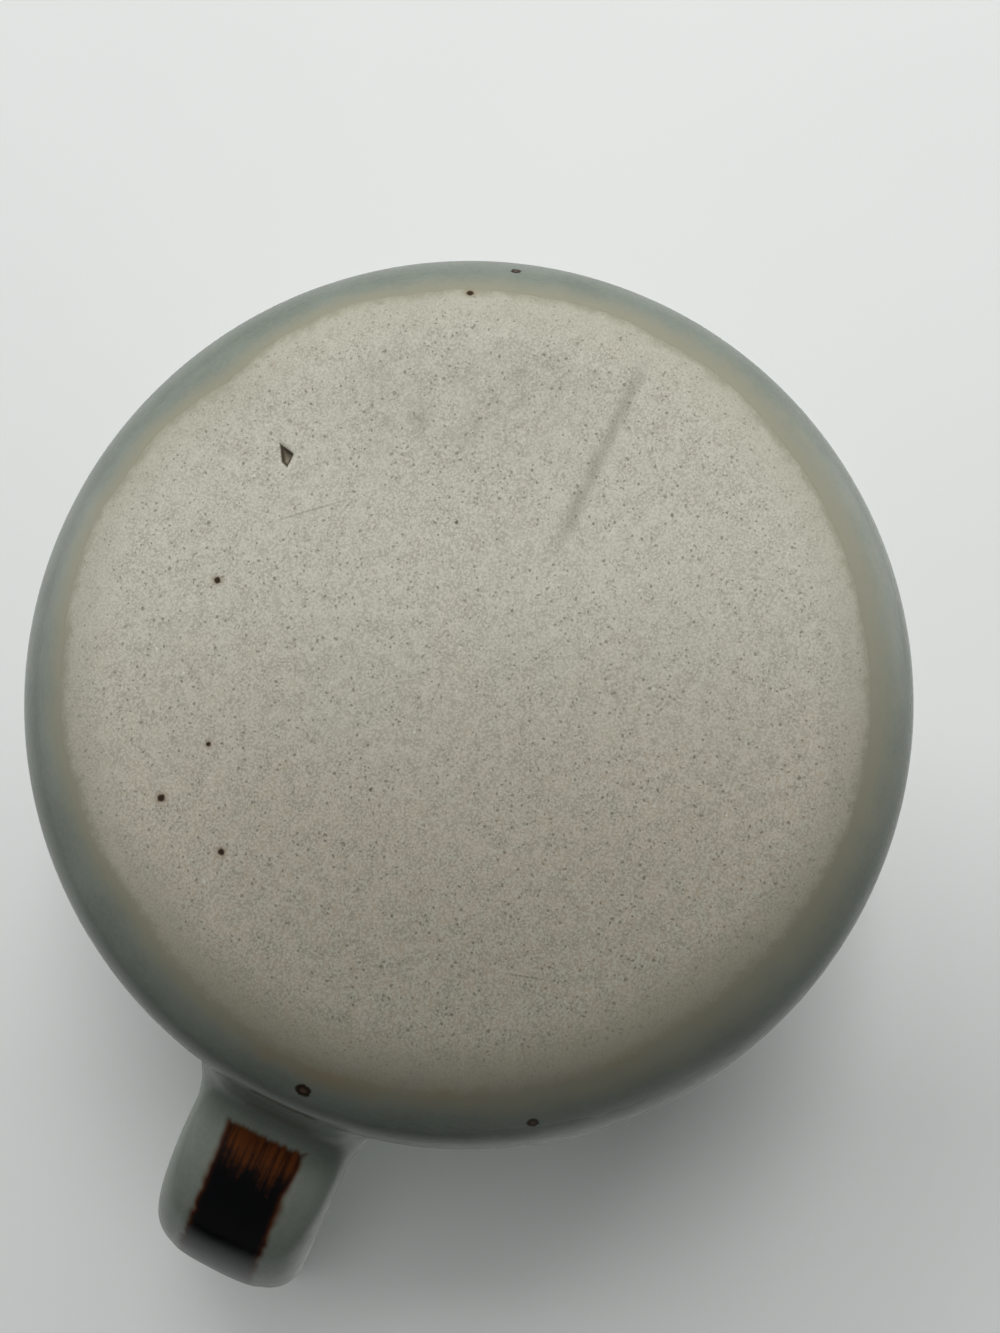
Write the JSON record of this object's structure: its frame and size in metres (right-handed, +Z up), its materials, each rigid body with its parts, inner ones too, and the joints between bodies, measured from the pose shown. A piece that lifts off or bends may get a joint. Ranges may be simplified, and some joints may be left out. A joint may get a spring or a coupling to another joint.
{
  "type": "stoneware mug",
  "caption": "Hand-made stoneware mug with a rounded heel, bare clay underside, glazed wall and liner, and a strap handle joined on with slip.",
  "frame": {"origin": "centre of the flat clay underside that the mug stands on", "axes": "+Z up out of the mouth, +X out along the middle of the handle, +Y across the handle"},
  "size_m": [0.1147, 0.084, 0.0955],
  "materials": {
    "bare_clay": "unglazed speckled stoneware, matt and slightly gritty",
    "slip_clay": "smoothed clay slip, matt",
    "grey_glaze": "glossy grey-green glaze with iron specks, tan where it is thin",
    "liner_glaze": "glossy pale grey-green glaze with iron specks",
    "brown_pigment": "brushed iron-brown pigment, glossy under the fired glaze"
  },
  "bodies": {
    "root": {"clay_body": "bare_clay", "outer_glaze": "grey_glaze", "liner_glaze": "liner_glaze", "handle_strap": "bare_clay", "lower_slip_joint": "slip_clay", "upper_slip_joint": "slip_clay", "handle_glaze": "grey_glaze", "handle_brush_band": "brown_pigment"}
  },
  "joints": []
}
